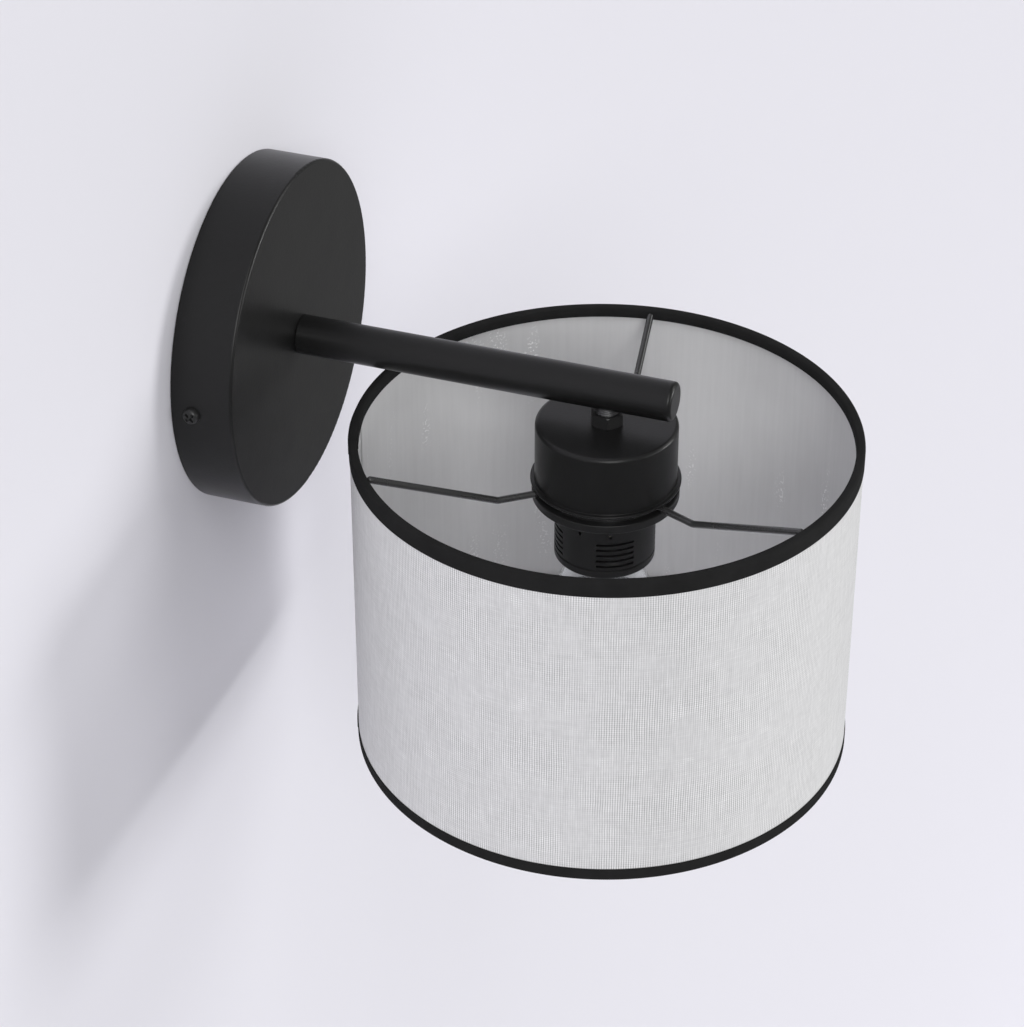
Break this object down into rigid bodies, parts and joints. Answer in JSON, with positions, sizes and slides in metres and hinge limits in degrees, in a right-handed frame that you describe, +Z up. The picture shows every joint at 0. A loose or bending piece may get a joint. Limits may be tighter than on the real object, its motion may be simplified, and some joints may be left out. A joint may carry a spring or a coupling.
{
  "type": "fabric shade wall light",
  "caption": "Wall light: round black backplate, straight black arm and a linen drum shade with dark ribbon edges hung on a screw lampholder.",
  "frame": {"origin": "centre of the backplate's back face, on the wall", "axes": "+Y into the wall, so the arm runs out along -Y; +Z up; +X to the right seen by someone facing the wall"},
  "size_m": [0.2, 0.2525, 0.232],
  "materials": {
    "black_powder": "satin",
    "black_screw": "satin",
    "black_plastic": "matte",
    "grey_wire": "satin",
    "trim_ribbon": "matte",
    "linen": "woven",
    "liner_film": "matte",
    "zinc_steel": "satin",
    "brass": "satin",
    "nickel": "polished",
    "tin_contact": "satin",
    "clear_nylon": "matte",
    "ceramic_core": "matte",
    "black_glass": "gloss",
    "clear_glass": "clear",
    "phosphor": "matte"
  },
  "bodies": {
    "fixture": {"backplate": "black_powder", "wall_bracket": "zinc_steel", "rim_screws": "black_screw", "earth_screw": "brass", "earth_washer": "zinc_steel", "terminal_block": "clear_nylon", "terminal_barrels": "brass", "terminal_screws": "zinc_steel", "block_screws": "zinc_steel", "arm_tube": "black_powder", "arm_bush": "zinc_steel", "arm_stud": "zinc_steel", "arm_washer": "zinc_steel", "arm_nut": "zinc_steel", "arm_saddle": "zinc_steel", "drop_nipple": "zinc_steel", "cup_locknut": "black_screw", "cup_cover": "black_powder", "holder_washer": "zinc_steel", "holder_cap": "black_plastic", "holder_skirt": "black_plastic", "holder_insulator": "ceramic_core", "lamp_shell": "nickel", "center_contact": "brass", "holder_terminals": "brass", "holder_terminal_screws": "zinc_steel"},
    "shade": {"spider": "grey_wire", "frame_ring_top": "grey_wire", "frame_ring_bottom": "grey_wire", "shade_fabric": "linen", "shade_liner": "liner_film", "trim_top": "trim_ribbon", "trim_bottom": "trim_ribbon"},
    "shade_ring": {"shade_ring": "black_plastic"},
    "bulb_base": {"bulb_tip": "tin_contact", "bulb_insulator": "black_glass"},
    "bulb": {"bulb_cap": "nickel", "bulb_glass": "clear_glass", "bulb_stem": "clear_glass", "filament_support": "nickel", "filaments": "phosphor"}
  },
  "joints": [
    {"name": "shade_drop", "type": "slide", "parent": "fixture", "child": "shade", "axis": [0, 0, -1], "range_m": [0, 0.004]},
    {"name": "ring_turn", "type": "hinge", "parent": "shade", "child": "shade_ring", "pos_m": [0, -0.1525, -0.045], "axis": [0, 0, -1], "range_deg": [0, 720]},
    {"name": "bulb_travel", "type": "slide", "parent": "fixture", "child": "bulb_base", "axis": [0, 0, -1], "range_m": [0, 0.01632]},
    {"name": "bulb_turn", "type": "hinge", "parent": "bulb_base", "child": "bulb", "pos_m": [0, -0.1525, -0.06], "axis": [0, 0, -1], "range_deg": [0, 1620]}
  ],
  "couplings": [
    {"joint": "ring_turn", "follows": "shade_drop", "rad_per_m": 3141.6},
    {"joint": "bulb_turn", "follows": "bulb_travel", "rad_per_m": 1731.6}
  ]
}
